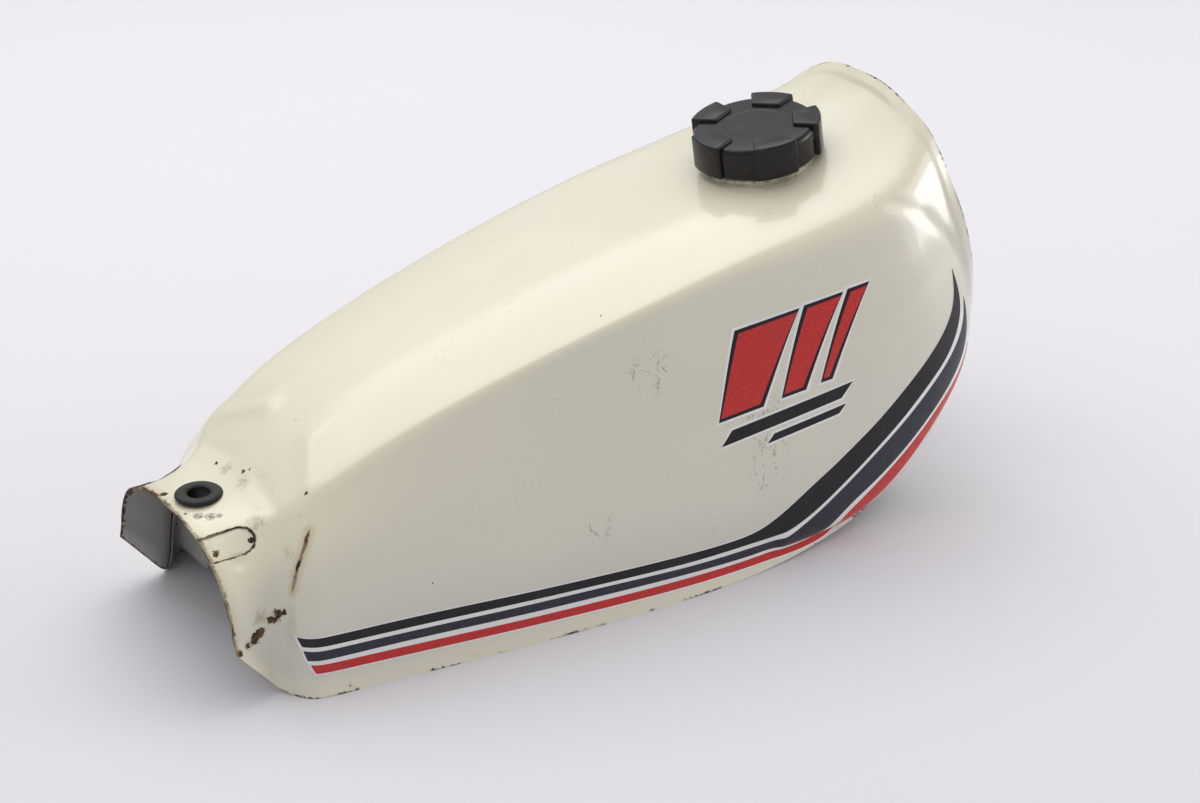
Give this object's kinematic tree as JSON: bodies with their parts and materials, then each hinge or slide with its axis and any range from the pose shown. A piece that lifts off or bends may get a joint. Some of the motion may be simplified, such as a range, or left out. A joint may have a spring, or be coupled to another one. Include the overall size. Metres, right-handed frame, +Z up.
{
  "type": "fuel tank",
  "caption": "Small trail motorcycle fuel tank: pressed steel shell over a frame tunnel, with side stripes, a rubber rear mount, front slides and a screw-on filler cap.",
  "frame": {"origin": "centre of the bounding box at the height of the seam lips that the tank stands on", "axes": "+X forward to the steering head, +Y to the rider's left, +Z up"},
  "size_m": [0.488, 0.2322, 0.233],
  "materials": {
    "paint_cream": "gloss cream enamel, chipped to rust along cut edges",
    "paint_inside": "thin grey overspray on bare steel, spotted with rust",
    "film_white": "gloss white vinyl",
    "film_black": "gloss black vinyl",
    "film_blue": "gloss blue-black vinyl",
    "film_red": "gloss red metal-flake vinyl",
    "film_flash": "gloss red metal-flake vinyl with a black outline",
    "cap_black": "satin moulded black plastic, glossy on its rounded rim",
    "rubber_black": "dull black rubber",
    "plated_steel": "zinc plated steel, dulled by fuel"
  },
  "bodies": {
    "tank": {"outer_skin_left": "paint_cream", "outer_skin_right": "paint_cream", "tunnel_pan": "paint_inside", "rear_saddle_bracket": "paint_cream", "rear_grommet": "rubber_black", "front_slide_left": "paint_inside", "front_slide_right": "paint_inside", "filler_neck": "plated_steel", "neck_collar": "paint_cream", "tap_plate": "plated_steel", "stripe_backing_left": "film_white", "stripe_backing_right": "film_white", "stripe_black_left": "film_black", "stripe_black_right": "film_black", "stripe_blue_left": "film_blue", "stripe_blue_right": "film_blue", "stripe_red_left": "film_red", "stripe_red_right": "film_red", "side_flash_left": "film_flash", "side_flash_right": "film_flash"},
    "cap_liner": {"cap_liner_disc": "plated_steel", "cap_gasket": "rubber_black", "vent_valve": "rubber_black"},
    "cap": {"cap_shell": "cap_black", "cap_retainer_washer": "plated_steel", "cap_screw": "plated_steel"}
  },
  "joints": [
    {"name": "cap_rise", "type": "slide", "parent": "tank", "child": "cap_liner", "axis": [-0.1564, 0, 0.9877], "range_m": [0, 0.006]},
    {"name": "cap_turn", "type": "hinge", "parent": "cap_liner", "child": "cap", "pos_m": [0.1312, 0, 0.218], "axis": [-0.1564, 0, 0.9877], "range_deg": [0, 540]}
  ],
  "couplings": [
    {"joint": "cap_rise", "follows": "cap_turn", "m_per_rad": 0.0006366}
  ]
}
